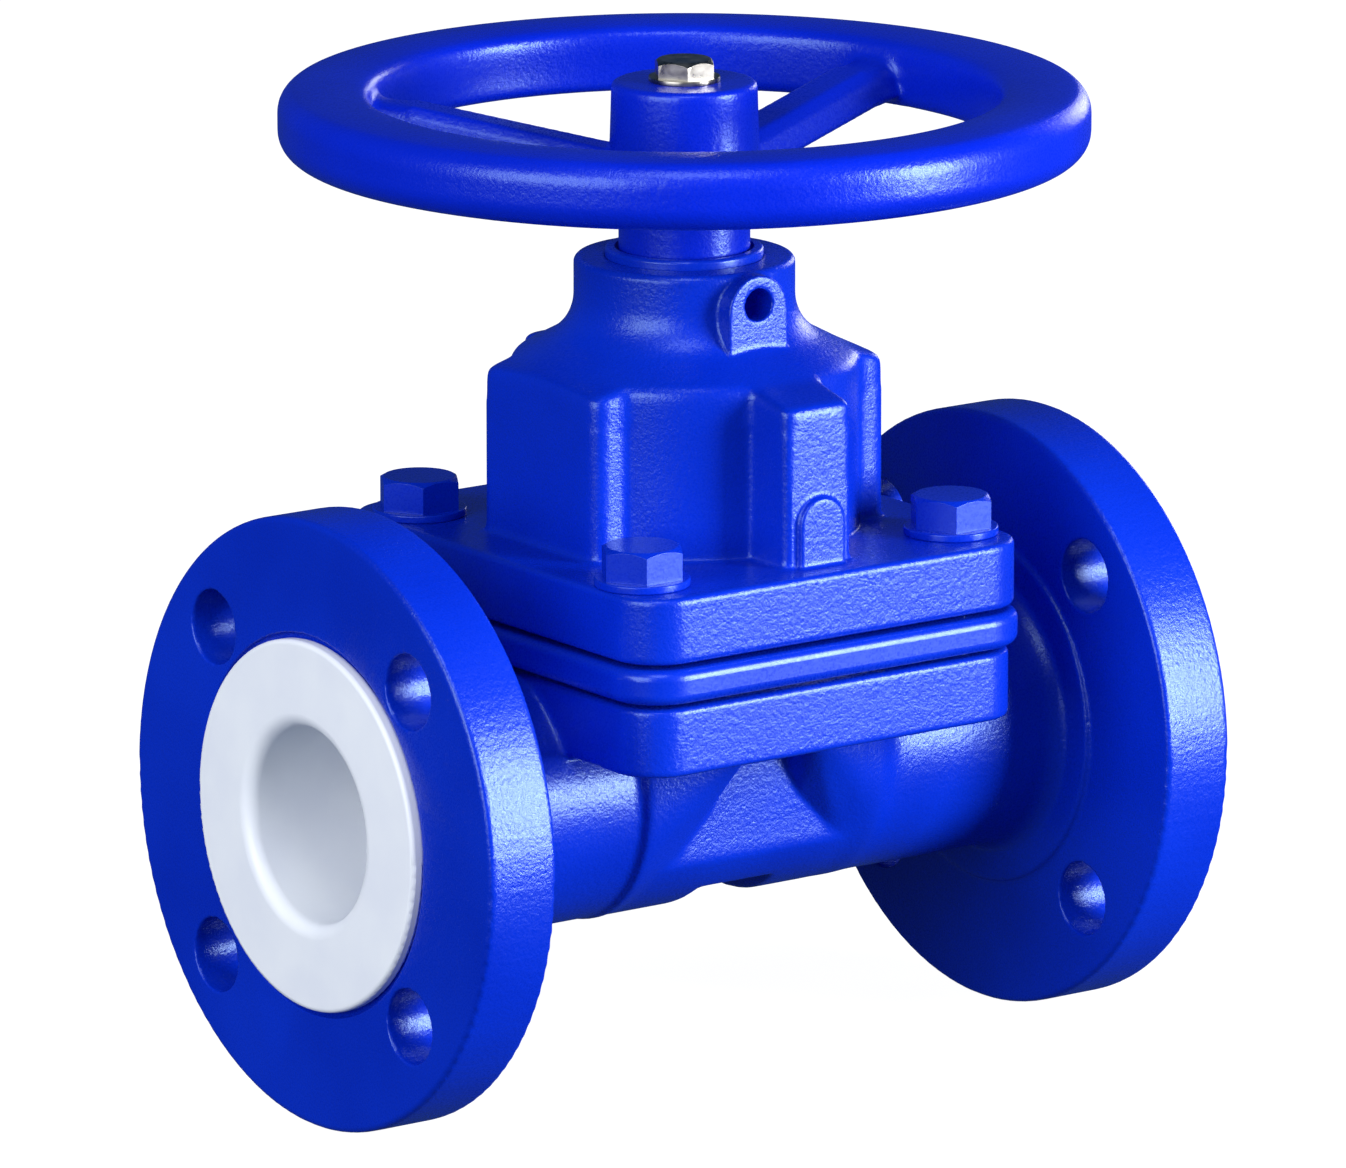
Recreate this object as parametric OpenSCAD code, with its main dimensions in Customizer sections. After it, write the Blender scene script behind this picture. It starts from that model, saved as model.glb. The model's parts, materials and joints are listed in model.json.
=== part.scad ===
// PTFE lined weir diaphragm valve for a DN 50 pipeline, with flanged ends and a handwheel.
// The origin is the centre of the inlet flange's metal face. X runs with the flow,
// Z runs up the stem. The valve is drawn fully open.

/* [Pipeline ends] */
// Distance between the metal faces of the two end flanges
face_to_face = 230; // [220:1:250]
// Outside diameter of the end flanges
flange_d = 155; // [150:1:180]
// Thickness of the end flanges
flange_t = 20; // [16:0.5:22]
// Diameter of the circle that the flange bolts stand on
bolt_circle_d = 120; // [116:1:130]
// Diameter of the flange bolt holes
bolt_hole_d = 19; // [14:0.5:19]
// Number of bolt holes in each end flange
flange_bolts = 4; // [4:4:8]
// Width of the broken edges of the flanges and their holes
edge_break = 1.2; // [0.5:0.1:2]

/* [Lining] */
// Bore of the lining
bore_d = 50; // [46:1:52]
// Wall of the lining
liner_t = 4; // [3:0.5:5]
// Outside diameter of the lining's end faces
liner_face_d = 94; // [88:1:98]
// Height of the lining's end faces above the metal
liner_proud = 2; // [1:0.5:3]
// Depth of the recess in the metal that the end faces lie in
liner_recess = 2; // [1:0.5:3]
// Open gap round the lining's end faces
face_gap = 0.5; // [0.1:0.1:0.8]
// Radius of the rounded mouth of the bore
mouth_r = 3.5; // [2:0.5:4]
// Height of the weir's crest above the pipe axis
weir_z = 17; // [14:0.5:19]
// Radius of the saddle that the weir is cut to
weir_r = 38; // [36:1:42]

/* [Body] */
// Thickness of the cast wall around the lining
wall_t = 6; // [5:0.5:8]
// Centre radius of the two elbows that rise to the weir
elbow_r = 8; // [6:1:12]
// Height of the pipe axis below the top flange's upper face
body_top = 33; // [31:0.5:36]
// Thickness of the body's top flange
body_plate_t = 17.5; // [14:0.5:18]
// Half width of the flat cheeks between the two lobes
cheek_y = 30; // [28:0.5:31]
// Half length of the gap between the lobes
lobe_gap = 9.4; // [8:0.2:11]
// Rounding of the lobes' noses
nose_r = 28; // [24:1:30]

/* [Diaphragm] */
// Radius of the working opening in the bowl
bowl_r = 34; // [32:0.5:36]
// Radius of the PTFE diaphragm
face_r = 54; // [50:1:58]
// Thickness of the PTFE diaphragm
face_t = 1.4; // [1:0.1:2]
// Thickness of the rubber cushion at its clamped rim
cushion_t = 8.9; // [8:0.1:11]
// Thickness of the rubber cushion where it flexes
cushion_flex_t = 6; // [4:0.5:7]
// Rounding of the cushion's outer edges
cushion_edge = 2.6; // [1:0.1:4]

/* [Bonnet] */
// Metal of the bonnet flange beyond its bolts' axes, along the pipe
edge_x = 12.5; // [12:0.5:14]
// Metal of the bonnet flange beyond its bolts' axes, across the pipe
edge_y = 18.5; // [14:0.5:20]
// Thickness of the bonnet flange with its seat
plate_t = 18.1; // [16:0.1:20]
// Height of the seat that presses on the cushion
seat_h = 1.2; // [0.6:0.1:2]
// Corner radius of the three square flanges
corner_r = 13; // [11:0.5:15]
// Rounding of the upper and lower edges of the flanges
plate_edge = 1.4; // [0.8:0.1:2]
// Radius of the bonnet's drum
drum_r = 44; // [43:0.5:46]
// Half length of the flat sided box that crosses the drum along the pipe
box_x = 45.5; // [44:0.5:48]
// Half width of that box
box_y = 25; // [20:1:30]
// Half width of the pilasters that hold the guide ways
pilaster_x = 10.5; // [9:0.1:12]
// Reach of the pilasters from the stem axis
pilaster_y = 57; // [54:0.5:59]
// Rounding of the bonnet's upright edges
upright_r = 4; // [2:0.5:6]
// Height of the roof at the drum's radius above the pipe axis
eave_z = 105; // [102:0.5:108]
// Slope of the roof in degrees
roof_slope = 28; // [24:1:32]
// Slope of the pilasters' tops in degrees
top_slope = 14; // [8:1:20]
// Radius of the hollow sweep between roof and neck
sweep_r = 13; // [8:1:16]
// Radius at which the hollow sweep meets the roof
sweep_foot_r = 34; // [32:0.5:36]
// Outside radius of the neck
neck_r = 27.9; // [26:0.1:29]
// Height of the neck's top above the pipe axis
neck_z = 130.7; // [128:0.1:134]
// Width of the flat boss on the neck
boss_w = 18; // [14:0.5:20]
// Height of the boss face above the neck's surface
boss_proud = 3.7; // [3:0.1:5]
// Diameter of the open hole in the boss
boss_hole_d = 8.2; // [6:0.2:9]

/* [Bonnet bolts] */
// Distance between the bonnet bolts, both ways
bolt_pitch = 96; // [94:1:98]
// Diameter of the bonnet bolts
bolt_d = 12; // [10:1:12]
// Width across flats of the bolt heads
bolt_af = 19; // [17:0.5:20]
// Height of the bolt heads
bolt_head_h = 8; // [6:0.5:9]
// Length of the bolts under the head
bolt_len = 45; // [40:1:46]
// Outside diameter of the washers
washer_d = 24; // [22:0.5:25]
// Thickness of the washers
washer_t = 2; // [1.5:0.1:3]

/* [Stem drive] */
// Diameter of the stem
stem_d = 18; // [16:0.5:18]
// Lift of the stem between closed and open
lift = 22; // [20:0.5:23]
// Height of the floor of the thrust bearing's chamber
chamber_z = 104; // [103:0.5:106]
// Radius of the thrust bearing's chamber
chamber_r = 20; // [19.5:0.1:20.5]
// Thickness of the thrust washers
thrust_t = 2; // [1.5:0.1:2.5]
// Height of the collar of the bush
collar_h = 7.8; // [6:0.1:9]
// Radius of the journal of the bush
journal_r = 14; // [13:0.1:14.5]
// Height that the gland ring stands above the neck
gland_proud = 2.3; // [1.5:0.1:3]
// Wire diameter of the O-ring in the gland ring
gland_cord_d = 3; // [2.5:0.1:3.2]
// Wire diameter of the O-ring around the stem
stem_cord_d = 2.8; // [2:0.1:3]
// Height of the compressor's crown above the pipe axis
crown_z = 78; // [76:0.5:80]
// Radius of the ball shape that the compressor's ribs are cut to
rib_r = 30.5; // [29:0.5:31]
// Thickness of the compressor's ribs
rib_t = 6; // [4:0.5:8]
// Radius of the compressor's hub
comp_hub_r = 14; // [13:0.5:15]
// Thickness of the two guide lugs of the compressor
lug_t = 11; // [9:0.5:12]
// Reach of the guide lugs from the stem axis
lug_y = 48; // [46:0.5:49]
// Diameter of the cross pin
pin_d = 6; // [5:0.5:7]
// Diameter of the diaphragm's stud
stud_d = 8; // [6:0.5:8]
// Thickness of the support disc over the cushion
disc_t = 1.5; // [1:0.1:2]

/* [Handwheel] */
// Outside diameter of the handwheel
wheel_d = 204; // [190:1:220]
// Radial width of the rim
rim_w = 23; // [18:0.5:26]
// Height of the rim
rim_h = 17.5; // [14:0.5:20]
// Height of the middle of the rim above the pipe axis
rim_z = 165.5; // [162:0.5:168]
// Rounding of the outer corners of the rim's section
rim_r = 6.5; // [4:0.5:7]
// Rounding of the inner corners of the rim's section
rim_in_edge = 3; // [2:0.5:5]
// Number of spokes
spokes = 3; // [3:1:5]
// Direction of the first spoke, in degrees from the flow direction
spoke_turn = 16; // [0:1:60]
// Width of a spoke at its lower face
spoke_w = 18; // [14:0.5:22]
// Height of a spoke
spoke_h = 9.5; // [8:0.5:12]
// Radius of the hub's upper part
hub_r = 19; // [18:0.1:21]
// Radius of the hub's lower sleeve
sleeve_r = 16.6; // [16:0.1:17.2]
// Height of the hub's top above the pipe axis
hub_z = 175.2; // [173:0.1:178]
// Width and height of the key between bush and handwheel
key_w = 5; // [4:0.5:5]
// Length of the key
key_l = 20; // [14:1:24]
// Diameter of the handwheel's bolt
wheel_bolt_d = 10; // [8:1:10]
// Width across flats of that bolt's head
wheel_bolt_af = 14; // [13:0.5:16]
// Height of that bolt's head
wheel_bolt_h = 4.4; // [4:0.2:7]
// Length of that bolt under the head
wheel_bolt_len = 18; // [14:1:20]
// Outside diameter of the washer under it
wheel_washer_d = 18; // [16:0.5:20]
// Thickness of the washer under it
wheel_washer_t = 1.2; // [1:0.1:2]

/* [Hidden] */
$fn = 96;
cut = 1;                 // reach of a cutting tool past the face it cuts
fit = 0.05;              // running clearance on a radius
seam = 0.1;              // step between a faceted shape and the round one that it joins
loose = 0.3;             // clearance between parts that move past each other
clearance_hole = 1.5;    // a bolt's hole is this much wider than the bolt
slide_gap = 0.5;         // clearance of the guide lugs in their ways

axis_x = face_to_face / 2;
bore_r = bore_d / 2;
tube_r = bore_r + liner_t;
pipe_r = tube_r + wall_t;
ring_r = pipe_r + 7;     // fillet ring behind each end flange
pad_r = ring_r + 3.5;    // low pad around that ring
pad_h = 1.4;
lobe_step = 2.4;         // the lobes stand this far out from the pipe
lobe_start = 38;         // distance from the stem axis where a lobe begins
waist_r = pipe_r + 0.3;  // round underside of the casting between the lobes
lobe_low_r = pipe_r + 0.6;
lobe_r = pipe_r + lobe_step;
elbow_x = axis_x - 5 - elbow_r - pipe_r;
bowl_metal_r = bowl_r + liner_t;
bowl_cast_r = bowl_metal_r + wall_t;
lip_r = bowl_metal_r + 12;
lip_t = 3;
plate_x = bolt_pitch + 2 * edge_x;
plate_y = bolt_pitch + 2 * edge_y;
body_plate_x = plate_x - 2;   // the body's flange is a little smaller
body_plate_y = plate_y - 3;
cushion_x = plate_x + 2;      // and the cushion stands out a little
cushion_y = plate_y + 2;
half_gap = 6;            // half the gap between the two flow paths at the top flange
deck_under_z = body_top - body_plate_t;
waist_x = lobe_gap + nose_r - 1.3;
recess_x = 12.5;          // half length of the recess under the weir, at its mouth
recess_top_x = 7;
recess_z = -8;
dome_h = weir_z + lift - body_top;

face_z = body_top;
cushion_z = face_z + face_t;
seat_z = cushion_z + cushion_t;
plate_z = seat_z + seat_h;
deck_z = seat_z + plate_t;
cushion_crown_z = cushion_z + dome_h + cushion_flex_t;
dome_r = (bowl_metal_r * bowl_metal_r + dome_h * dome_h) / (2 * dome_h);
seat_r = face_r + 1;

washer_z = deck_z;
head_z = deck_z + washer_t;
bolt_r = bolt_d / 2;
bolt_pad = bolt_pitch / 2;

cavity_r = bowl_metal_r - 2;
way_x = lug_t / 2 + slide_gap;
way_y = lug_y + slide_gap;
roof_in_z = crown_z + 6;
arch_w = 13.7;
arch_h = 17.4;
arch_proud = 1.8;
boss_top_z = neck_z - 0.2;
boss_hole_z = boss_top_z - 7.4;

stem_r = stem_d / 2;
stem_hole_r = stem_r + loose;
thrust_z = chamber_z + thrust_t;
collar_z = thrust_z + 0.2;
collar_top_z = collar_z + collar_h;
upper_thrust_z = collar_top_z + 0.2;
gland_z = upper_thrust_z + thrust_t;
gland_top_z = neck_z + gland_proud;
gland_r = chamber_r - fit;
gland_floor_z = neck_z + 0.1;
gland_cup_r = sleeve_r + 1;
gland_groove_z = gland_z + 7;
gland_groove_r = journal_r + loose + gland_cord_d;
sleeve_z = gland_floor_z + 0.6;
stem_groove_z = chamber_z - 5.2;
stem_groove_r = stem_hole_r + stem_cord_d;

disc_z = cushion_crown_z + loose;
disc_r = 12;
heel_z = disc_z + disc_t;
rib_centre_z = heel_z - 0.5 + rib_r;
lug_h = 10;
pin_z = crown_z - 10;
pin_len = 2 * comp_hub_r - 2;
spigot_r = stem_r - 1;
spigot_z = crown_z - 20;
stem_top_z = hub_z - 21;
stud_r = stud_d / 2;
stud_head_r = 10;
stud_head_t = 2;
stud_head_z = cushion_z + dome_h + loose;
stud_top_z = heel_z + 7;

bush_top_z = hub_z - 3.4;
bush_floor_z = bush_top_z - 14;
key_z = hub_z - 29;
key_r = journal_r + key_w / 2;
wheel_r = wheel_d / 2;
rim_in_r = wheel_r - rim_w;
wheel_washer_z = hub_z;
wheel_head_z = hub_z + wheel_washer_t;
hub_step_z = hub_z - 27;
rim_crown = 55;          // radius of the rim's slightly crowned top

casting_blue = [0.05, 0.12, 0.80];
ptfe_white = [0.94, 0.96, 0.98];
rubber_blue = [0.05, 0.11, 0.72];
steel_grey = [0.62, 0.63, 0.65];
stainless = [0.80, 0.79, 0.76];
seal_black = [0.06, 0.06, 0.07];
bronze = [0.72, 0.52, 0.26];

// Turns a shape that stands on Z so that it lies along X, starting at x
module along_x(x) translate([x, 0, 0]) rotate([0, 90, 0]) children();

// Puts one copy at each end of the valve, the second one turned to face the outlet
module both_ends() {
    children();
    translate([face_to_face, 0, 0]) rotate([0, 0, 180]) children();
}

// Puts a shape on the stem's axis
module on_stem(z = 0) translate([axis_x, 0, z]) children();

// Puts one copy at each of the four bonnet bolts
module at_bolts(z = 0)
    for (sx = [-1, 1], sy = [-1, 1])
        translate([axis_x + sx * bolt_pad, sy * bolt_pad, z]) children();

// Half of a rounded rectangle, from the axis out to w
module half_section(w, h, r) {
    square([w - r, h]);
    translate([0, r]) square([w, h - 2 * r]);
    for (y = [r, h - r]) translate([w - r, y]) circle(r, $fn = 48);
}

module full_section(w, h, r) {
    half_section(w, h, r);
    mirror([1, 0]) half_section(w, h, r);
}

// Square flange with rounded corners and rounded upper and lower edges
module slab(lx, ly, h, rc, r) {
    span_x = lx - 2 * rc;
    span_y = ly - 2 * rc;
    for (i = [0 : 3])
        translate([(i == 0 || i == 3 ? 1 : -1) * span_x / 2, (i < 2 ? 1 : -1) * span_y / 2, 0])
            rotate([0, 0, 90 * i]) rotate_extrude(angle = 90) half_section(rc, h, r);
    translate([-span_x / 2, 0, 0]) rotate([90, 0, 90])
        linear_extrude(span_x) full_section(ly / 2, h, r);
    for (side = [0, 180]) rotate([0, 0, side]) translate([span_x / 2, span_y / 2, 0])
        rotate([90, 0, 0]) linear_extrude(span_y) half_section(rc, h, r);
}

// Rectangle with rounded corners, centred
module round_rect(w, h, r) {
    square([w - 2 * r, h], center = true);
    square([w, h - 2 * r], center = true);
    for (sx = [-1, 1], sy = [-1, 1])
        translate([sx * (w / 2 - r), sy * (h / 2 - r)]) circle(r, $fn = 48);
}

// Outline with a flat foot and a half round top
module arch(w, h) {
    translate([-w / 2, 0]) square([w, h - w / 2]);
    translate([0, h - w / 2]) circle(w / 2);
}

module tube(r_out, r_in, h) difference() {
    cylinder(r = r_out, h = h);
    translate([0, 0, -cut]) cylinder(r = r_in, h = h + 2 * cut);
}

module cylinder_between(r, z0, z1) translate([0, 0, z0]) cylinder(r = r, h = z1 - z0);

module hexagon(af, h) cylinder(d = af / cos(30), h = h, $fn = 6);

// Hexagon head with its corners turned down to a cone at the top
module bolt_head(af, h) intersection() {
    hexagon(af, h);
    union() {
        cylinder(d = af / cos(30) + cut, h = h - 1.3);
        translate([0, 0, h - 1.3]) cylinder(d1 = af / cos(30) + 0.4, d2 = af - 1, h = 1.3);
    }
}

// One elbow of the flow path: a pipe of radius r that turns up beside the weir.
// top_r is its radius at the bowl, top_z its upper end, gap the distance to the stem axis.
module elbow(r, top_r, top_z, gap, start_x) hull() {
    along_x(start_x) cylinder(r = r - seam, h = 1, $fn = 48);
    translate([elbow_x, 0, elbow_r]) rotate([90, 0, 0])
        rotate_extrude(angle = 90, start = 270, $fn = 64) intersection() {
            translate([elbow_r, 0]) circle(r, $fn = 40);
            translate([0, -r]) square(2 * r + elbow_r);
        }
    intersection() {
        on_stem(top_z - 3) cylinder(r = top_r, h = 3, $fn = 64);
        translate([0, -top_r, 0]) cube([axis_x - gap, 2 * top_r, top_z + cut]);
    }
}

// The two elbows and the saddle over the weir, as one solid flow space
module flow_space(r, bowl, gap, crest, top_z) {
    straight = axis_x - lobe_start - 9;
    both_ends() elbow(r, bowl, top_z, gap, straight - cut);
    both_ends() along_x(-cut) cylinder(r = r, h = straight + cut);
    intersection() {
        on_stem() cylinder(r = bowl - seam, h = top_z);
        along_x(0) translate([-weir_z - weir_r, 0, 0])
            cylinder(r = weir_r + weir_z - crest, h = face_to_face);
    }
}

module end_flange() {
    along_x(0) rotate_extrude() half_section(flange_d / 2, flange_t, edge_break);
    along_x(flange_t - cut) cylinder(r = pad_r, h = pad_h + cut);
    along_x(flange_t) rotate_extrude() difference() {
        square([ring_r, ring_r - pipe_r]);
        translate([ring_r, ring_r - pipe_r]) circle(ring_r - pipe_r, $fn = 48);
    }
}

module end_holes()
    for (i = [0 : flange_bolts - 1]) rotate([(i + 0.5) * 360 / flange_bolts, 0, 0])
        translate([0, bolt_circle_d / 2, 0]) along_x(-cut)
            cylinder(d = bolt_hole_d, h = flange_t + 2 * cut);

// Lobe of the casting that carries one elbow: a pipe with a rounded nose, drawn up to the bowl
module lobe() hull() {
    scale([1, lobe_r / lobe_low_r, 1]) {
        along_x(axis_x - lobe_start) cylinder(r = lobe_low_r, h = 1, $fn = 48);
        for (a = [0 : 22.5 : 90])
            along_x(axis_x - lobe_gap - nose_r * (1 - sin(a)) - seam)
                cylinder(r = lobe_low_r - nose_r * (1 - cos(a)), h = seam, $fn = 48);
    }
    intersection() {
        on_stem(deck_under_z + cut - 3) cylinder(r = bowl_cast_r, h = 3, $fn = 64);
        translate([0, -bowl_cast_r, 0])
            cube([axis_x - lobe_gap, 2 * bowl_cast_r, body_top]);
    }
}

// Casting between the lobes, round below and flat at the cheeks
module waist() translate([axis_x - waist_x, 0, 0]) rotate([90, 0, 90]) linear_extrude(2 * waist_x) {
    start = -acos(cheek_y / waist_r);
    step = (180 + 2 * start) / 16;
    polygon(concat(
        [[-cheek_y, deck_under_z + cut], [cheek_y, deck_under_z + cut]],
        [for (i = [0 : 16]) waist_r * [cos(start - i * step), sin(start - i * step)]]));
}

// Cored recess that lightens the casting under the weir
module core_recess() translate([axis_x, cheek_y - wall_t - 2, 0]) rotate([90, 0, 0])
    linear_extrude(2 * (cheek_y - wall_t - 2))
        polygon([[-recess_x, -waist_r - cut], [recess_x, -waist_r - cut],
                 [recess_top_x, recess_z], [-recess_top_x, recess_z]]);

// Room that is milled off the crown of the pipe beside the top flange
module deck_cut() translate([axis_x - cushion_x / 2 - 1, -pipe_r - lobe_step, body_top])
    cube([cushion_x + 2, 2 * (pipe_r + lobe_step), pipe_r]);

module body() color(casting_blue) difference() {
    union() {
        both_ends() end_flange();
        both_ends() along_x(flange_t) cylinder(r = pipe_r, h = axis_x - lobe_start - flange_t + cut);
        both_ends() lobe();
        on_stem(deck_under_z)
            slab(body_plate_x, body_plate_y, body_plate_t, corner_r - 1, plate_edge);
        waist();
    }
    deck_cut();
    core_recess();
    flow_space(tube_r, bowl_metal_r, half_gap + liner_t, weir_z - liner_t, body_top);
    both_ends() along_x(-cut) cylinder(d = liner_face_d + 2 * face_gap, h = liner_recess + cut);
    on_stem(body_top - lip_t) cylinder(r = lip_r, h = lip_t + cut);
    both_ends() end_holes();
    at_bolts(0) cylinder(r = bolt_r + fit, h = body_top + cut);
}

module liner_outside() {
    flow_space(tube_r, bowl_metal_r, half_gap + liner_t, weir_z - liner_t, body_top);
    both_ends() along_x(-liner_proud)
        rotate_extrude() half_section(liner_face_d / 2, liner_proud + liner_recess, 1.2);
    on_stem(body_top - lip_t) cylinder(r = lip_r - fit, h = lip_t);
}

module body_liner() color(ptfe_white) difference() {
    liner_outside();
    flow_space(bore_r, bowl_r, half_gap, weir_z, body_top + cut);
    both_ends() along_x(-liner_proud - cut) cylinder(r = bore_r, h = liner_proud + 2 * cut);
    both_ends() along_x(-liner_proud) rotate_extrude() difference() {
        translate([0, -cut]) square([bore_r + mouth_r, mouth_r + cut]);
        translate([bore_r + mouth_r, mouth_r]) circle(mouth_r, $fn = 48);
    }
}

// Domed membrane between two spheres, inside the radius of the bowl
module dome(z_low, t) intersection() {
    on_stem(z_low) cylinder(r = bowl_metal_r, h = dome_h + t + cut);
    difference() {
        on_stem(z_low + dome_h + t - dome_r) sphere(r = dome_r);
        on_stem(z_low + dome_h - dome_r) sphere(r = dome_r);
    }
}

module diaphragm_face() color(ptfe_white) {
    on_stem(face_z) tube(face_r, bowl_metal_r - 0.5, face_t);
    dome(face_z, face_t);
}

module diaphragm_cushion() color(rubber_blue) difference() {
    union() {
        difference() {
            on_stem(cushion_z) slab(cushion_x, cushion_y, cushion_t, corner_r + 1, cushion_edge);
            on_stem(cushion_z - cut) cylinder(r = bowl_metal_r - 0.5, h = cushion_t + 2 * cut);
        }
        dome(cushion_z, cushion_flex_t);
    }
    at_bolts(cushion_z - cut) cylinder(d = bolt_d + clearance_hole, h = cushion_t + 2 * cut);
    on_stem(cushion_z) cylinder(r = stud_head_r + loose, h = dome_h + stud_head_t + 2 * loose);
    on_stem(cushion_z) cylinder(r = stud_r + loose, h = cushion_t + dome_h + cut);
}

module diaphragm_stud() color(steel_grey) on_stem() {
    translate([0, 0, stud_head_z]) cylinder(r = stud_head_r, h = stud_head_t);
    translate([0, 0, stud_head_z]) cylinder(r = stud_r, h = stud_top_z - stud_head_z);
}

module vacuum_plate() color(steel_grey) on_stem(disc_z) tube(disc_r, stud_r + fit, disc_t);

module compressor() color(steel_grey) on_stem() difference() {
    rib_top = crown_z - 3;
    union() {
        intersection() {
            translate([0, 0, rib_centre_z]) rotate([0, 0, 22.5]) sphere(r = rib_r);
            translate([0, 0, heel_z]) union() {
                for (a = [0, 45, 135]) rotate([0, 0, a])
                    translate([-rib_r, -rib_t / 2, 0]) cube([2 * rib_r, rib_t, rib_top - heel_z]);
                cylinder(r = comp_hub_r, h = rib_top - heel_z + cut);
            }
        }
        intersection() {
            translate([0, 0, rib_centre_z]) rotate([0, 0, 22.5]) sphere(r = rib_r);
            translate([-lug_t / 2, -rib_r, heel_z]) cube([lug_t, 2 * rib_r, rib_top - heel_z - cut]);
        }
        cylinder_between(comp_hub_r, rib_top, crown_z);
        translate([-lug_t / 2, -lug_y, crown_z - lug_h]) cube([lug_t, 2 * lug_y, lug_h - cut]);
    }
    translate([0, 0, spigot_z - 0.5]) cylinder(r = spigot_r + fit, h = crown_z);
    translate([0, 0, heel_z - cut]) cylinder(r = stud_r + fit, h = stud_top_z - heel_z + 2 * cut);
    translate([0, 0, pin_z]) rotate([0, 90, 0])
        cylinder(d = pin_d + 2 * fit, h = 2 * rib_r + 2 * cut, center = true);
}

module compressor_pin() color(steel_grey) on_stem(pin_z) rotate([0, 90, 0])
    translate([0, 0, -pin_len / 2]) rotate_extrude() half_section(pin_d / 2, pin_len, 0.6);

module stem() color(steel_grey) on_stem() difference() {
    union() {
        translate([0, 0, spigot_z]) cylinder(r = spigot_r, h = crown_z - spigot_z + cut);
        translate([0, 0, crown_z]) cylinder(r = stem_r, h = stem_top_z - crown_z - 1.5);
        translate([0, 0, stem_top_z - 1.5]) cylinder(r1 = stem_r, r2 = stem_r - 1.5, h = 1.5);
    }
    translate([0, 0, pin_z]) rotate([0, 90, 0])
        cylinder(d = pin_d + 2 * fit, h = stem_d + 2 * cut, center = true);
}

module o_ring(r, cord_d) rotate_extrude() translate([r, 0]) circle(d = cord_d, $fn = 48);

module stem_o_ring() color(seal_black)
    on_stem(stem_groove_z + stem_cord_d / 2 + 0.1)
        o_ring(stem_hole_r + stem_cord_d / 2, stem_cord_d);

// Roof, sweep and neck of the bonnet, as one turned outline
module roof_outline() {
    roof_r = pilaster_y + 4;
    foot_z = eave_z + (drum_r - sweep_foot_r) * tan(roof_slope);
    sweep_x = neck_r + sweep_r;
    turn = acos((sweep_x - sweep_foot_r) / sweep_r);
    sweep_z = foot_z + sweep_r * sin(turn);
    sweep = [for (a = [180 + turn : -turn / 12 : 180])
        [sweep_x + sweep_r * cos(a), sweep_z + sweep_r * sin(a)]];
    polygon(concat(
        [[0, plate_z + cut], [roof_r, plate_z + cut],
         [roof_r, eave_z - (roof_r - drum_r) * tan(top_slope)], [drum_r, eave_z]],
        sweep,
        [[neck_r, sweep_z], [neck_r, neck_z - 1], [neck_r - 1, neck_z], [0, neck_z]]));
}

module bonnet_plan() {
    circle(r = drum_r);
    round_rect(2 * box_x, 2 * box_y, upright_r);
    round_rect(2 * pilaster_x, 2 * pilaster_y, upright_r / 2);
}

// Boss face on the neck, an arch that stands on the sweep
module neck_boss() translate([0, 0, eave_z]) rotate([90, 0, 0])
    linear_extrude(neck_r + boss_proud) arch(boss_w, boss_top_z - eave_z);

module guide_arch() translate([0, 0, deck_z - cut]) rotate([90, 0, 0])
    linear_extrude(pilaster_y + arch_proud) arch(arch_w, arch_h + cut);

module bonnet() color(casting_blue) on_stem() difference() {
    union() {
        translate([0, 0, plate_z]) slab(plate_x, plate_y, deck_z - plate_z, corner_r, plate_edge);
        translate([0, 0, seat_z]) cylinder(r = seat_r, h = seat_h + cut);
        intersection() {
            translate([0, 0, plate_z + cut]) linear_extrude(neck_z) bonnet_plan();
            rotate_extrude() roof_outline();
        }
        neck_boss();
        guide_arch();
    }
    translate([0, 0, seat_z - cut]) cylinder(r = cavity_r, h = roof_in_z - seat_z + cut);
    translate([0, 0, roof_in_z - fit]) cylinder(r1 = cavity_r, r2 = stem_hole_r + 4, h = 11);
    translate([-way_x, -way_y, seat_z - cut])
        cube([2 * way_x, 2 * way_y, roof_in_z - seat_z + cut]);
    translate([0, 0, roof_in_z]) cylinder(r = stem_hole_r, h = neck_z);
    translate([0, 0, chamber_z]) cylinder(r = chamber_r, h = neck_z);
    translate([0, 0, stem_groove_z]) cylinder(r = stem_groove_r, h = stem_cord_d + 0.2);
    translate([0, 0, boss_hole_z]) rotate([90, 0, 0])
        cylinder(d = boss_hole_d, h = neck_r + boss_proud + cut);
    translate([-axis_x, 0, 0]) at_bolts(seat_z)
        cylinder(d = bolt_d + clearance_hole, h = plate_t + cut);
}

module bonnet_bolts() color(casting_blue) at_bolts(head_z) {
    bolt_head(bolt_af, bolt_head_h);
    translate([0, 0, -bolt_len + 1.5]) cylinder(r = bolt_r, h = bolt_len);
    translate([0, 0, -bolt_len]) cylinder(r1 = bolt_r - 1.5, r2 = bolt_r, h = 1.5);
}

module bonnet_washers() color(casting_blue)
    at_bolts(washer_z) tube(washer_d / 2, (bolt_d + 1) / 2, washer_t);

module lower_thrust_washer() color(bronze)
    on_stem(chamber_z) tube(chamber_r - loose, stem_hole_r + 1, thrust_t);

module upper_thrust_washer() color(bronze)
    on_stem(upper_thrust_z) tube(chamber_r - loose, journal_r + loose, thrust_t);

module stem_bush() color(steel_grey) on_stem() difference() {
    union() {
        translate([0, 0, collar_z]) cylinder(r = chamber_r - 0.6, h = collar_h);
        translate([0, 0, collar_z]) cylinder(r = journal_r, h = bush_top_z - collar_z);
    }
    translate([0, 0, collar_z - cut]) cylinder(r = stem_r + fit, h = bush_floor_z - collar_z + cut);
    translate([0, 0, bush_floor_z - cut])
        cylinder(d = wheel_bolt_d + 2 * fit, h = bush_top_z - bush_floor_z + 2 * cut);
    translate([journal_r - key_w / 2, -key_w / 2 - fit, key_z])
        cube([key_w, key_w + 2 * fit, key_l]);
}

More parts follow.
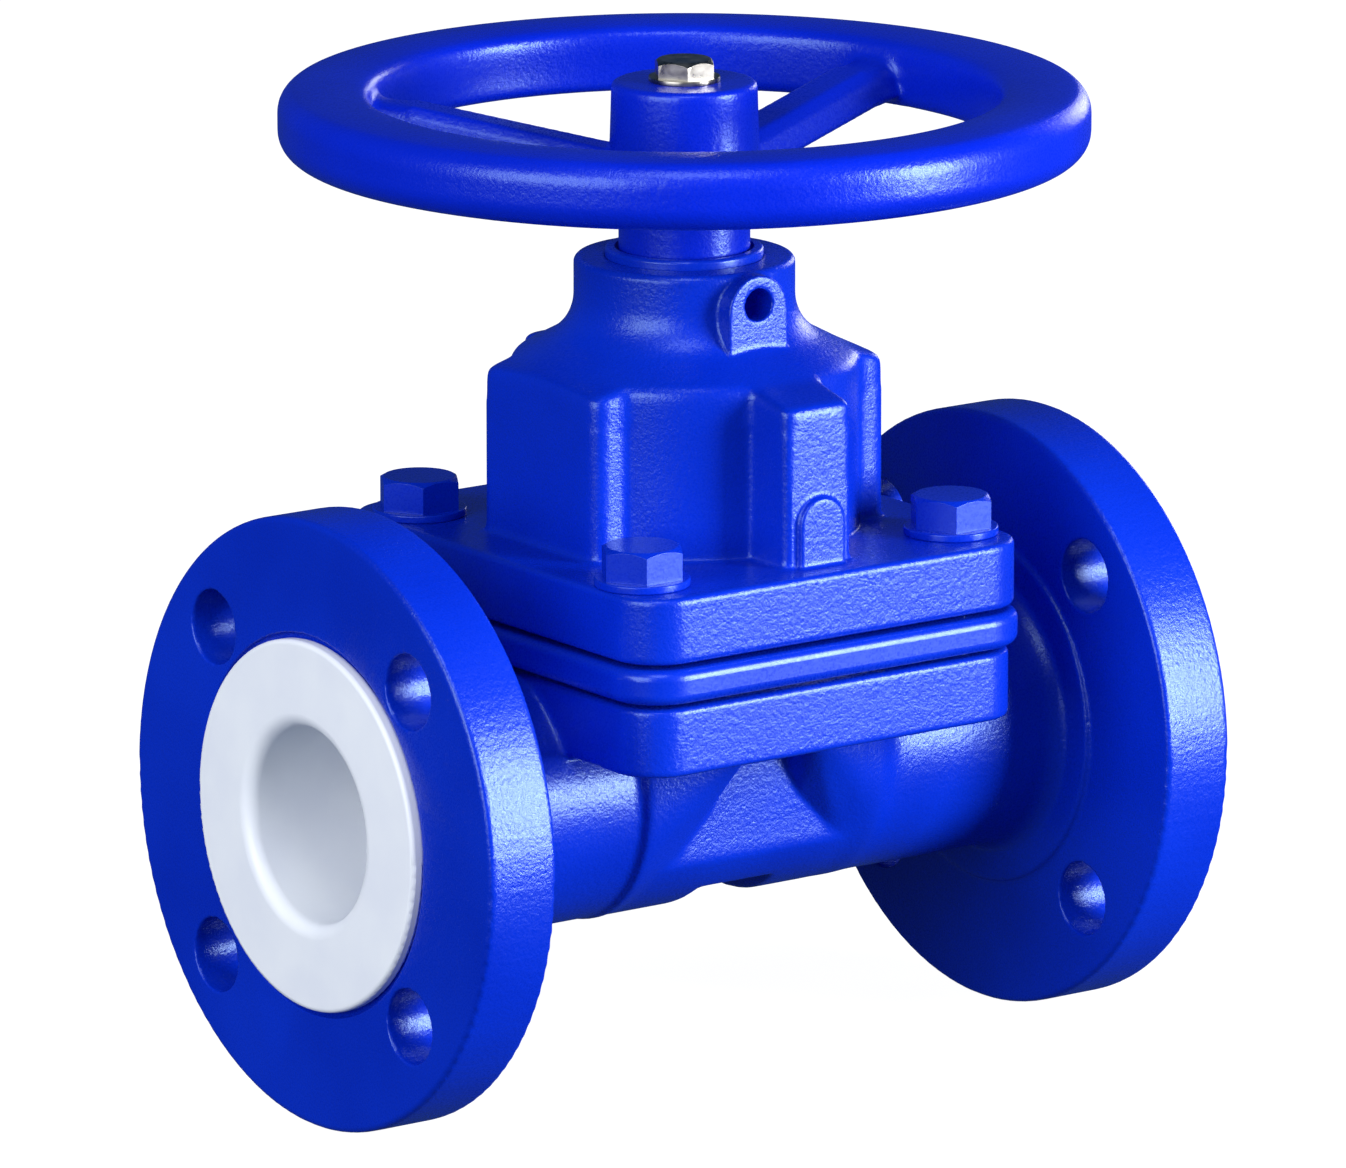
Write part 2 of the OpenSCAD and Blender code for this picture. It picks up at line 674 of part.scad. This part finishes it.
module bush_o_ring() color(seal_black)
    on_stem(gland_groove_z + gland_cord_d / 2 + 0.1)
        o_ring(journal_r + loose / 2 + gland_cord_d / 2, gland_cord_d);

module gland_ring() color(casting_blue) on_stem() difference() {
    translate([0, 0, gland_z]) rotate_extrude() half_section(gland_r, gland_top_z - gland_z, 0.9);
    translate([0, 0, gland_z - cut]) cylinder(r = journal_r + fit, h = neck_z);
    translate([0, 0, gland_floor_z]) cylinder(r = gland_cup_r, h = gland_proud + cut);
    translate([0, 0, gland_groove_z]) cylinder(r = gland_groove_r, h = gland_cord_d + 0.2);
}

// Section of a spoke, wide at its foot and with its edges turned down
module spoke_section(w, h) {
    edge = 1.5;
    shoulder = 2.5;
    half = [[w / 2 - edge, 0], [w / 2, edge], [w / 2 - 2, h - shoulder], [w / 2 - 2 - shoulder, h]];
    polygon(concat(half, [for (i = [3 : -1 : 0]) [-half[i].x, half[i].y]]));
}

// Straight bar of that section, from one point of the r and z plane to another
module spoke_bar(from, to, w, h) {
    run = to - from;
    translate([from.x, 0, from.y]) rotate([0, -atan2(run.y, run.x), 0]) rotate([90, 0, 90])
        linear_extrude(norm(run)) spoke_section(w, h);
}

// A spoke slopes up from the hub and levels out at a knee near the rim
module spoke() {
    foot = [journal_r + 1, hub_step_z - 0.5];
    knee = [rim_in_r - 9, rim_z - rim_h / 2 + 1.5];
    spoke_bar(foot, knee + 0.02 * (knee - foot), spoke_w, spoke_h);
    spoke_bar(knee, knee + [9 + rim_w / 3, 1], spoke_w, spoke_h);
}

module rim_section() intersection() {
    translate([rim_in_r, -rim_h / 2]) union() {
        translate([rim_in_edge, 0]) half_section(rim_w - rim_in_edge, rim_h, rim_r);
        translate([rim_in_edge + cut, 0]) mirror([1, 0])
            half_section(rim_in_edge + cut, rim_h, rim_in_edge);
    }
    translate([wheel_r - rim_w / 2, rim_h / 2 - rim_crown]) circle(r = rim_crown, $fn = 128);
}

module hub_outline() {
    translate([0, sleeve_z]) square([sleeve_r, hub_step_z - sleeve_z + 2]);
    polygon([[0, hub_step_z], [hub_r, hub_step_z], [hub_r, hub_step_z + 6],
             [hub_r - 0.6, hub_z - 1.5], [0, hub_z - 1.5]]);
    translate([0, hub_z - 5]) half_section(hub_r - 0.6, 5, 1.5);
}

module handwheel() color(casting_blue) on_stem() difference() {
    union() {
        translate([0, 0, rim_z]) rotate_extrude($fn = 192) rim_section();
        for (i = [0 : spokes - 1]) rotate([0, 0, spoke_turn + i * 360 / spokes]) spoke();
        rotate_extrude() hub_outline();
    }
    translate([0, 0, sleeve_z - cut]) cylinder(r = journal_r + fit, h = bush_top_z - sleeve_z + cut + 0.4);
    translate([0, 0, hub_z - 5]) cylinder(d = wheel_bolt_d + 0.6, h = 5 + cut);
    translate([0, -key_w / 2 - fit, sleeve_z - cut])
        cube([key_r + fit, key_w + 2 * fit, bush_top_z - sleeve_z + cut]);
}

module wheel_key() color(steel_grey) on_stem()
    translate([key_r - key_w, -key_w / 2, key_z]) cube([key_w, key_w, key_l]);

module wheel_washer() color(stainless) on_stem(wheel_washer_z)
    tube(wheel_washer_d / 2, (wheel_bolt_d + 0.6) / 2, wheel_washer_t);

module wheel_bolt() color(stainless) on_stem(wheel_head_z) {
    bolt_head(wheel_bolt_af, wheel_bolt_h);
    translate([0, 0, -wheel_bolt_len]) cylinder(d = wheel_bolt_d, h = wheel_bolt_len + cut);
}

body();
body_liner();
diaphragm_face();
diaphragm_cushion();
diaphragm_stud();
vacuum_plate();
compressor();
compressor_pin();
stem();
stem_o_ring();
bonnet();
bonnet_bolts();
bonnet_washers();
lower_thrust_washer();
upper_thrust_washer();
stem_bush();
bush_o_ring();
gland_ring();
handwheel();
wheel_key();
wheel_washer();
wheel_bolt();
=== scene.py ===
import json
import math
import bpy
from mathutils import Matrix, Vector


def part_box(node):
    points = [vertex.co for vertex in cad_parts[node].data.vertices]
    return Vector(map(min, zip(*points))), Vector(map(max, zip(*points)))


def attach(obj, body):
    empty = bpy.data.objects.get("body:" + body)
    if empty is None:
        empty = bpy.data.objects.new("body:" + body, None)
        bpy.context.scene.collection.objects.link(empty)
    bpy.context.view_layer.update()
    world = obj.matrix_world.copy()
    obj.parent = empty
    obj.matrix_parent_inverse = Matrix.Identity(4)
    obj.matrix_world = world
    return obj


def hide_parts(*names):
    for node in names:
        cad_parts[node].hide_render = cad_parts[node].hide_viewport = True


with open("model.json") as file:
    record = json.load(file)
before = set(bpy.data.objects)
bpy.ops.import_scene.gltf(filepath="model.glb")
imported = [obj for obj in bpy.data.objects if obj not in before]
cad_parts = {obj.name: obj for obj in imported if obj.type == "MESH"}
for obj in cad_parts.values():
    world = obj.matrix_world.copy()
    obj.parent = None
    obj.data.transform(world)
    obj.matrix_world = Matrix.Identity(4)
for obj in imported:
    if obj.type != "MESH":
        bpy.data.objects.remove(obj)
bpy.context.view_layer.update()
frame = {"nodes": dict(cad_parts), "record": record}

nodes = frame["nodes"]
mm = 0.001
stemAt = 115
stemX = stemAt * mm


def deselectAll():
    if bpy.context.object and bpy.context.object.mode != "OBJECT":
        bpy.ops.object.mode_set(mode="OBJECT")
    bpy.ops.object.select_all(action="DESELECT")


def selectOnly(piece):
    deselectAll()
    piece.select_set(True)
    bpy.context.view_layer.objects.active = piece


# camera, matched to the photo's view
cameraView = {
    "azimuth": -36.12,
    "elevation": 13.38,
    "place": (-1716.4, -2504.8, 783.6),
    "focalPixels": 12618,
    "frameWidth": 1346,
    "sensor": 36,
    "farthest": 20,
}


def placeCamera(view):
    data = bpy.data.cameras.new("photoCamera")
    data.sensor_width = view["sensor"]
    data.lens = view["focalPixels"] * data.sensor_width / view["frameWidth"]
    data.clip_end = view["farthest"]
    camera = bpy.data.objects.new("photoCamera", data)
    bpy.context.scene.collection.objects.link(camera)
    camera.location = Vector(view["place"]) * mm
    tilt = math.radians(90 - view["elevation"])
    camera.rotation_euler = (tilt, 0, math.radians(view["azimuth"]))
    bpy.context.scene.camera = camera
    print("camera placed")


placeCamera(cameraView)

# floor and soft studio light
studio = {
    "floorDrop": 0.3,
    "floorSize": 14,
    "floorTint": 0.2,
    "floorRough": 0.9,
    "floorGlow": 0.97,
    "worldTint": (0.25, 0.5, 1.0),
    "worldStrength": 0.12,
    "aimHeight": 0.04,
    "view": "Standard",
}
lamps = {
    "keyLight": {"place": (1.25, -1.75, 0.41), "size": (0.65, 1.26), "power": 86},
    "topLight": {"place": (-0.5, -0.9, 1.7), "size": (0.8, 0.8), "power": 10},
    "sideLight": {"place": (-2.2, -0.7, 0.9), "size": (2.0, 1.6), "power": 61},
    "rimLight": {"place": (1.7, 0.8, 0.36), "size": (0.5, 0.5), "power": 4},
}


def softLight(name, values, aim):
    data = bpy.data.lights.new(name, "AREA")
    data.shape = "RECTANGLE"
    data.size, data.size_y = values["size"]
    data.energy = values["power"]
    lamp = bpy.data.objects.new(name, data)
    bpy.context.scene.collection.objects.link(lamp)
    lamp.location = values["place"]
    lamp.rotation_euler = (Vector(values["place"]) - aim).to_track_quat("Z", "Y").to_euler()


def grey(level):
    return (level,) * 3


def buildStudio(values):
    deselectAll()
    bpy.ops.mesh.primitive_plane_add(size=values["floorSize"])
    floor = bpy.context.object
    floor.name = "studioFloor"
    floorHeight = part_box("body")[0].z - values["floorDrop"] * mm
    floor.data.transform(Matrix.Translation((0, 0, floorHeight)))
    floor.visible_diffuse = False
    floor.visible_glossy = False
    floor.visible_shadow = False
    paint = bpy.data.materials.new("paleFloor")
    paint.use_nodes = True
    shader = paint.node_tree.nodes["Principled BSDF"]
    shader.inputs["Base Color"].default_value = (*grey(values["floorTint"]), 1)
    shader.inputs["Roughness"].default_value = values["floorRough"]
    shader.inputs["Emission Color"].default_value = (1, 1, 1, 1)
    shader.inputs["Emission Strength"].default_value = values["floorGlow"]
    floor.data.materials.append(paint)
    world = bpy.data.worlds.new("studioWorld")
    bpy.context.scene.world = world
    world.use_nodes = True
    back = world.node_tree.nodes["Background"]
    back.inputs["Color"].default_value = (*values["worldTint"], 1)
    back.inputs["Strength"].default_value = values["worldStrength"]
    bpy.context.scene.view_settings.view_transform = values["view"]
    for name, lamp in lamps.items():
        softLight(name, lamp, Vector((stemX, 0, values["aimHeight"])))
    print("studio built")


buildStudio(studio)

# materials
wideStops = (0.3, 0.7)
narrowStops = (0.35, 0.65)


def newMaterial(name):
    material = bpy.data.materials.new(name)
    material.use_nodes = True
    tree = material.node_tree
    return material, tree, tree.nodes["Principled BSDF"]


def objectNoise(tree, scale, detail, rough=0.5):
    where = tree.nodes.new("ShaderNodeTexCoord")
    noise = tree.nodes.new("ShaderNodeTexNoise")
    noise.inputs["Scale"].default_value = scale
    noise.inputs["Detail"].default_value = detail
    noise.inputs["Roughness"].default_value = rough
    tree.links.new(where.outputs["Object"], noise.inputs["Vector"])
    return noise


def ramp(tree, noise, places, colours):
    node = tree.nodes.new("ShaderNodeValToRGB")
    for element, place, colour in zip(node.color_ramp.elements, places, colours):
        element.position = place
        element.color = (*colour, 1)
    tree.links.new(noise.outputs["Fac"], node.inputs["Fac"])
    return node


def addBump(tree, shader, layers):
    last = None
    for noise, strength, distance in layers:
        bump = tree.nodes.new("ShaderNodeBump")
        bump.inputs["Strength"].default_value = strength
        bump.inputs["Distance"].default_value = distance * mm
        tree.links.new(noise.outputs["Fac"], bump.inputs["Height"])
        if last:
            tree.links.new(last.outputs["Normal"], bump.inputs["Normal"])
        last = bump
    tree.links.new(last.outputs["Normal"], shader.inputs["Normal"])


def bluePaint(name, values):
    material, tree, shader = newMaterial(name)
    grain = objectNoise(tree, values["grainScale"], values["grainDetail"])
    peel = objectNoise(tree, values["peelScale"], values["peelDetail"])
    cloud = objectNoise(tree, values["cloudScale"], values["cloudDetail"])
    tint = ramp(tree, cloud, wideStops, (values["deep"], values["light"]))
    tree.links.new(tint.outputs["Color"], shader.inputs["Base Color"])
    gloss = ramp(tree, grain, wideStops, (grey(values["gloss"]), grey(values["dull"])))
    tree.links.new(gloss.outputs["Color"], shader.inputs["Roughness"])
    shader.inputs["Specular IOR Level"].default_value = values["specular"]
    shader.inputs["Specular Tint"].default_value = (*values["tint"], 1)
    addBump(tree, shader, [(peel, values["peel"], values["peelDepth"]),
                           (grain, values["grain"], values["grainDepth"])])
    return material


plainSurface = {"detail": 3, "depth": 0.1}


def plainFinish(name, values):
    material, tree, shader = newMaterial(name)
    noise = objectNoise(tree, values["scale"], plainSurface["detail"])
    tint = ramp(tree, noise, narrowStops, (values["dark"], values["light"]))
    tree.links.new(tint.outputs["Color"], shader.inputs["Base Color"])
    rough = ramp(tree, noise, wideStops, (grey(values["gloss"]), grey(values["dull"])))
    tree.links.new(rough.outputs["Color"], shader.inputs["Roughness"])
    shader.inputs["Metallic"].default_value = values["metal"]
    addBump(tree, shader, [(noise, values["bump"], plainSurface["depth"])])
    return material


castingPaint = {
    "deep": (0.0, 0.018, 0.45), "light": (0.001, 0.026, 0.54),
    "cloudScale": 22, "cloudDetail": 2,
    "grainScale": 1800, "grainDetail": 3, "grain": 0.34, "grainDepth": 0.25,
    "peelScale": 760, "peelDetail": 1, "peel": 0.22, "peelDepth": 0.5,
    "gloss": 0.23, "dull": 0.35, "specular": 0.6, "tint": (0.5, 0.75, 1.0),
}
hardwarePaint = dict(castingPaint, grain=0.05, peel=0.05)
wheelPaint = dict(castingPaint, deep=(0.0, 0.012, 0.50), light=(0.001, 0.017, 0.58),
                  grain=0.26, peel=0.18)
finishes = {
    "casting_paint": bluePaint("castingEnamel", castingPaint),
    "hardware_paint": bluePaint("hardwareEnamel", hardwarePaint),
    "wheel_paint": bluePaint("wheelEnamel", wheelPaint),
    "painted_rubber": bluePaint("cushionEnamel", hardwarePaint),
    "ptfe": plainFinish("whiteLining", {
        "scale": 60, "dark": (0.84, 0.88, 0.96), "light": (0.88, 0.92, 0.98),
        "gloss": 0.35, "dull": 0.5, "metal": 0, "bump": 0.05}),
    "steel": plainFinish("machinedSteel", {
        "scale": 300, "dark": (0.42, 0.43, 0.45), "light": (0.55, 0.56, 0.58),
        "gloss": 0.25, "dull": 0.32, "metal": 1, "bump": 0.1}),
    "stainless": plainFinish("stainlessSteel", {
        "scale": 350, "dark": (0.20, 0.19, 0.17), "light": (0.34, 0.33, 0.30),
        "gloss": 0.25, "dull": 0.40, "metal": 1, "bump": 0.12}),
    "bronze": plainFinish("bearingBronze", {
        "scale": 250, "dark": (0.45, 0.28, 0.10), "light": (0.60, 0.40, 0.18),
        "gloss": 0.3, "dull": 0.45, "metal": 1, "bump": 0.1}),
    "seal_rubber": plainFinish("sealRubber", {
        "scale": 500, "dark": (0.015, 0.015, 0.016), "light": (0.03, 0.03, 0.032),
        "gloss": 0.5, "dull": 0.7, "metal": 0, "bump": 0.1}),
}


def dressNodes():
    for part in frame["record"]["subparts"]:
        mesh = nodes[part["node"]].data
        mesh.materials.clear()
        mesh.materials.append(finishes[part["material_slot"]])


dressNodes()

# pieces drawn from the meshes of the parts that they stand for
mergeReach = 0.01
smoothFactor = 0.5


def pieceFromNode(name, pieceName):
    piece = bpy.data.objects.new(pieceName, nodes[name].data.copy())
    bpy.context.scene.collection.objects.link(piece)
    selectOnly(piece)
    bpy.ops.object.mode_set(mode="EDIT")
    bpy.ops.mesh.select_all(action="SELECT")
    bpy.ops.mesh.remove_doubles(threshold=mergeReach * mm)
    bpy.ops.mesh.normals_make_consistent(inside=False)
    bpy.ops.object.mode_set(mode="OBJECT")
    return piece


def applyModifier(piece, kind, **settings):
    selectOnly(piece)
    modifier = piece.modifiers.new(kind.lower(), kind)
    for key, value in settings.items():
        setattr(modifier, key, value)
    bpy.ops.object.modifier_apply(modifier=modifier.name)


def triangleCount(piece):
    return sum(len(face.vertices) - 2 for face in piece.data.polygons)


def finishPiece(piece, body, slotName, replaced):
    piece.data.materials.clear()
    piece.data.materials.append(finishes[slotName])
    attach(piece, body)
    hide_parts(replaced)
    print(piece.name, "has", triangleCount(piece), "triangles")


# a casting: each region is smoothed by its own number of rounds, then the whole piece
def softCasting(nodeName, pieceName, values, regions):
    piece = pieceFromNode(nodeName, pieceName)
    applyModifier(piece, "REMESH", mode="VOXEL", voxel_size=values["voxel"] * mm)
    for region, turns in regions:
        group = piece.vertex_groups.new(name="castSurface")
        chosen = [v.index for v in piece.data.vertices if region(v.co / mm)]
        group.add(chosen, 1.0, "REPLACE")
        applyModifier(piece, "SMOOTH", factor=smoothFactor, iterations=turns,
                      vertex_group=group.name)
        piece.vertex_groups.clear()
    applyModifier(piece, "SMOOTH", factor=smoothFactor, iterations=values["rounds"])
    count = triangleCount(piece)
    if count > values["most"]:
        applyModifier(piece, "DECIMATE", ratio=values["most"] / count)
    selectOnly(piece)
    bpy.ops.object.shade_smooth()
    return piece


# body
bodyCasting = {
    "voxel": 0.55, "castRounds": 40, "outletRounds": 260, "rounds": 5, "most": 190000,
    "flange": 23, "pipe": 33, "reach": 49,
    "plateUnder": 15.5, "plateX": 59.5, "margin": 1,
    "outletStart": 143, "outletEnd": 166, "outletReach": 46, "outletTop": 13,
}
faceGap = {"radius": 47.5, "reach": 2.2, "deep": 1.85, "push": 1.0}


# cast surface between the flanges, under and beside the square plate
def bodyRegion(point):
    form = bodyCasting
    fromAxis = math.hypot(point.y, point.z)
    fromStem = abs(point.x - stemAt)
    alongPipe = stemAt - fromStem > form["flange"]
    underPlate = point.z < form["plateUnder"] - form["margin"]
    besidePlate = fromStem > form["plateX"] - form["margin"]
    onCasting = form["pipe"] < fromAxis < form["reach"]
    return alongPipe and onCasting and (underPlate or besidePlate)


# start of the outlet lobe, which runs into its pipe without a step
def outletRegion(point):
    form = bodyCasting
    fromAxis = math.hypot(point.y, point.z)
    alongOutlet = form["outletStart"] < point.x < form["outletEnd"]
    onLobe = form["pipe"] < fromAxis < form["outletReach"]
    return alongOutlet and onLobe and point.z < form["outletTop"]


# opens the narrow gap round the lining's end faces, which the softening closes
def openFaceGap(piece, values):
    for vertex in piece.data.vertices:
        point = vertex.co / mm
        fromAxis = math.hypot(point.y, point.z)
        apart = abs(fromAxis - values["radius"])
        fromEnd = stemAt - abs(point.x - stemAt)
        if fromEnd < values["deep"] and apart < values["reach"]:
            grow = 1 + values["push"] * (1 - apart / values["reach"]) / fromAxis
            vertex.co.y *= grow
            vertex.co.z *= grow


bodyPiece = softCasting("body", "bodyCasting", bodyCasting,
                        [(bodyRegion, bodyCasting["castRounds"]),
                         (outletRegion, bodyCasting["outletRounds"])])
openFaceGap(bodyPiece, faceGap)
finishPiece(bodyPiece, "valve", "casting_paint", "body")

# bonnet
bonnetCasting = {
    "voxel": 0.5, "castRounds": 50, "eaveRounds": 90, "rounds": 5, "most": 190000,
    "deck": 61.4, "deckMargin": 0.4, "neck": 113,
    "wallRadius": 39.5, "wallTop": 95,
    "plateX": 60.5, "plateY": 66.5, "plateInset": 5,
    "boltPlace": 48, "boltReach": 11.5,
    "archFace": 56.6, "archHalf": 9, "archHeight": 19,
    "bossFace": 27, "bossHalf": 10.5, "bossFoot": 101,
    "eaveFoot": 95, "eaveTop": 108, "eaveRadius": 40,
}


# cast surface above the plate, without its rim, the bolt seats, the arch and the boss
def bonnetRegion(point):
    form = bonnetCasting
    across = abs(point.y)
    along = abs(point.x - stemAt)
    if point.z < form["deck"] - form["deckMargin"] or point.z > form["neck"]:
        return False
    if math.hypot(along, across) < form["wallRadius"] and point.z < form["wallTop"]:
        return False
    if along > form["plateX"] - form["plateInset"]:
        return False
    if across > form["plateY"] - form["plateInset"]:
        return False
    if math.hypot(along - form["boltPlace"], across - form["boltPlace"]) < form["boltReach"]:
        return False
    archTop = form["deck"] + form["archHeight"]
    onArch = (point.y < -form["archFace"] and along < form["archHalf"]
              and point.z < archTop)
    onBoss = (point.y < -form["bossFace"] and along < form["bossHalf"]
              and point.z > form["bossFoot"])
    return not (onArch or onBoss)


# corner between the walls and the sweep up to the neck
def eaveRegion(point):
    form = bonnetCasting
    fromStem = math.hypot(point.x - stemAt, point.y)
    return form["eaveFoot"] < point.z < form["eaveTop"] and fromStem > form["eaveRadius"]


bonnetPiece = softCasting("bonnet", "bonnetCasting", bonnetCasting,
                          [(bonnetRegion, bonnetCasting["castRounds"]),
                           (eaveRegion, bonnetCasting["eaveRounds"])])
finishPiece(bonnetPiece, "valve", "casting_paint", "bonnet")

# handwheel
wheelCasting = {
    "voxel": 0.6, "castRounds": 110, "rounds": 8, "most": 190000,
    "innerRim": 78, "rimReach": 9, "rimMid": 164,
}


# inner shoulder of the rim, away from the spokes' ends
def rimRegion(point):
    form = wheelCasting
    fromStem = math.hypot(point.x - stemAt, point.y)
    return abs(fromStem - form["innerRim"]) < form["rimReach"] and point.z > form["rimMid"]


wheelPiece = softCasting("handwheel", "wheelCasting", wheelCasting,
                         [(rimRegion, wheelCasting["castRounds"])])
finishPiece(wheelPiece, "wheel", "wheel_paint", "handwheel")

# bolts, washers and rings with broken edges
crispShape = {"corner": 24, "smooth": 30}
crispParts = {
    "boltHeads": {"node": "bonnet_bolts", "body": "valve", "slot": "hardware_paint",
                  "edge": 0.4, "steps": 3},
    "boltWashers": {"node": "bonnet_washers", "body": "valve", "slot": "hardware_paint",
                    "edge": 0.4, "steps": 3},
    "glandRing": {"node": "gland_ring", "body": "valve", "slot": "hardware_paint",
                  "edge": 0.25, "steps": 2},
    "topBolt": {"node": "wheel_bolt", "body": "wheel", "slot": "stainless",
                "edge": 0.2, "steps": 3},
    "topWasher": {"node": "wheel_washer", "body": "wheel", "slot": "stainless",
                  "edge": 0.15, "steps": 2},
}


def crispPiece(nodeName, pieceName, values):
    piece = pieceFromNode(nodeName, pieceName)
    applyModifier(piece, "BEVEL", width=values["edge"] * mm, segments=values["steps"],
                  limit_method="ANGLE", angle_limit=math.radians(crispShape["corner"]))
    selectOnly(piece)
    bpy.ops.object.shade_smooth_by_angle(angle=math.radians(crispShape["smooth"]))
    applyModifier(piece, "WEIGHTED_NORMAL", keep_sharp=True)
    return piece


for pieceName, values in crispParts.items():
    crisp = crispPiece(values["node"], pieceName, values)
    finishPiece(crisp, values["body"], values["slot"], values["node"])
